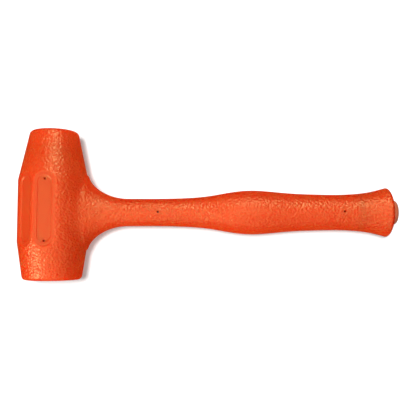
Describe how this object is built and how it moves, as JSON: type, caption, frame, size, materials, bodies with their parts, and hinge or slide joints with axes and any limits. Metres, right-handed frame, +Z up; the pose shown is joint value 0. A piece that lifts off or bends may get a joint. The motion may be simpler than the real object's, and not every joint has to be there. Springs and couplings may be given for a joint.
{
  "type": "dead blow mallet",
  "caption": "Soft-faced dead blow mallet: orange cast urethane head and handle in one, around a steel canister of sliding shot and a steel handle core.",
  "frame": {"origin": "middle of the footprint of the mallet as it lies on its side on a bench", "axes": "+X along the handle towards the butt, +Y along the head towards the narrow face, +Z up"},
  "size_m": [0.306, 0.12, 0.0545],
  "materials": {
    "urethane": "satin, fine leather-like mould grain",
    "plug_urethane": "smooth satin",
    "tube_steel": "drawn, lightly oiled",
    "rod_steel": "cold drawn",
    "plated_steel": "zinc plated",
    "shot_steel": "polished by rolling"
  },
  "bodies": {
    "mallet_body": {"urethane_casting": "urethane", "butt_plug": "plug_urethane", "canister_tube": "tube_steel", "canister_cap_narrow": "plated_steel", "canister_cap_wide": "plated_steel", "core_socket": "tube_steel", "core_rod": "rod_steel", "core_roll_pin": "plated_steel", "anchor_washer": "plated_steel", "anchor_nut": "plated_steel"},
    "shot_charge": {"shot_layer_01": "shot_steel", "shot_layer_02": "shot_steel", "shot_layer_03": "shot_steel", "shot_layer_04": "shot_steel", "shot_layer_05": "shot_steel", "shot_layer_06": "shot_steel", "shot_layer_07": "shot_steel", "shot_layer_08": "shot_steel", "shot_layer_09": "shot_steel", "shot_layer_10": "shot_steel"}
  },
  "joints": [
    {"name": "shot_slide", "type": "slide", "parent": "mallet_body", "child": "shot_charge", "axis": [0, 1, 0], "range_m": [0, 0.0206]}
  ]
}
